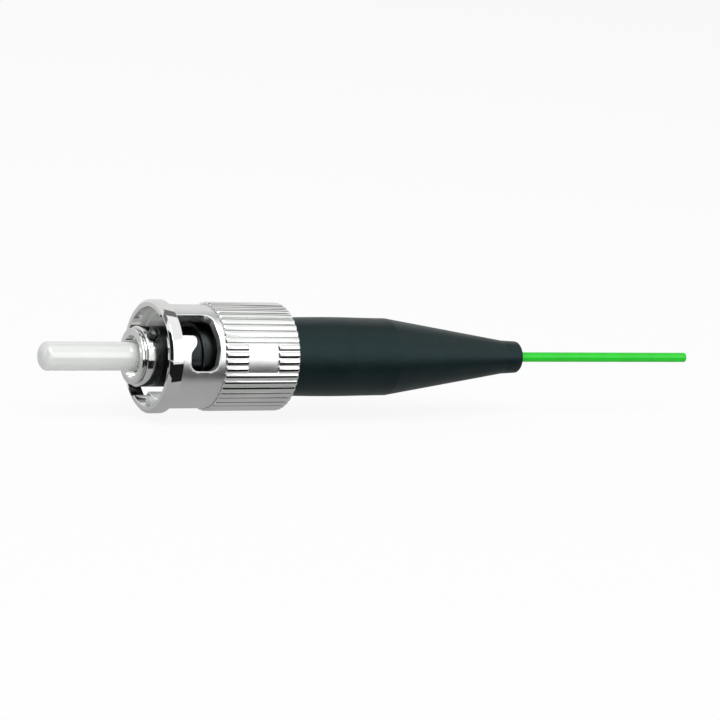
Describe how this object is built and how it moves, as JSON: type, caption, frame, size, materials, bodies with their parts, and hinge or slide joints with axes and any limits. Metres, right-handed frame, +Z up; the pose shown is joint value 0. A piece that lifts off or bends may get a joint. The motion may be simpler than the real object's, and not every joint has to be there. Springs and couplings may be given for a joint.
{
  "type": "st fibre connector",
  "caption": "Bayonet fibre-optic plug with a ceramic ferrule, keyed metal body, spring-loaded knurled coupling nut, tapered boot and a short tail of buffered fibre.",
  "frame": {"origin": "centre of the ferrule's polished end face", "axes": "+X along the connector's axis from the ferrule's end face to the fibre; +Z up; the alignment key stands 39 degrees from +Z towards -Y"},
  "size_m": [0.0672, 0.01, 0.01],
  "materials": {
    "ceramic": "polished zirconia",
    "nickel": "bright nickel plating on brass",
    "spring_steel": "drawn steel",
    "boot_plastic": "soft moulded elastomer",
    "guide_plastic": "smooth",
    "glass": "polished",
    "buffer_plastic": "smooth extruded buffer"
  },
  "bodies": {
    "body": {"ferrule": "ceramic", "ferrule_holder": "nickel", "key_pin": "nickel", "connector_body": "nickel", "coil_spring": "spring_steel", "retaining_clip": "spring_steel", "boot": "boot_plastic", "guide_tube": "guide_plastic", "glass_fibre": "glass", "buffered_fibre": "buffer_plastic"},
    "washer": {"thrust_washer": "nickel"},
    "nut": {"coupling_nut": "nickel"}
  },
  "joints": [
    {"name": "nut_slide", "type": "slide", "parent": "body", "child": "washer", "axis": [-1, 0, 0], "range_m": [0, 0.0018], "stiffness_N_per_m": 1200, "deforming": ["coil_spring"]},
    {"name": "nut_spin", "type": "hinge", "parent": "washer", "child": "nut", "pos_m": [0.01962, 0, 0], "axis": [1, 0, 0], "continuous": true}
  ]
}
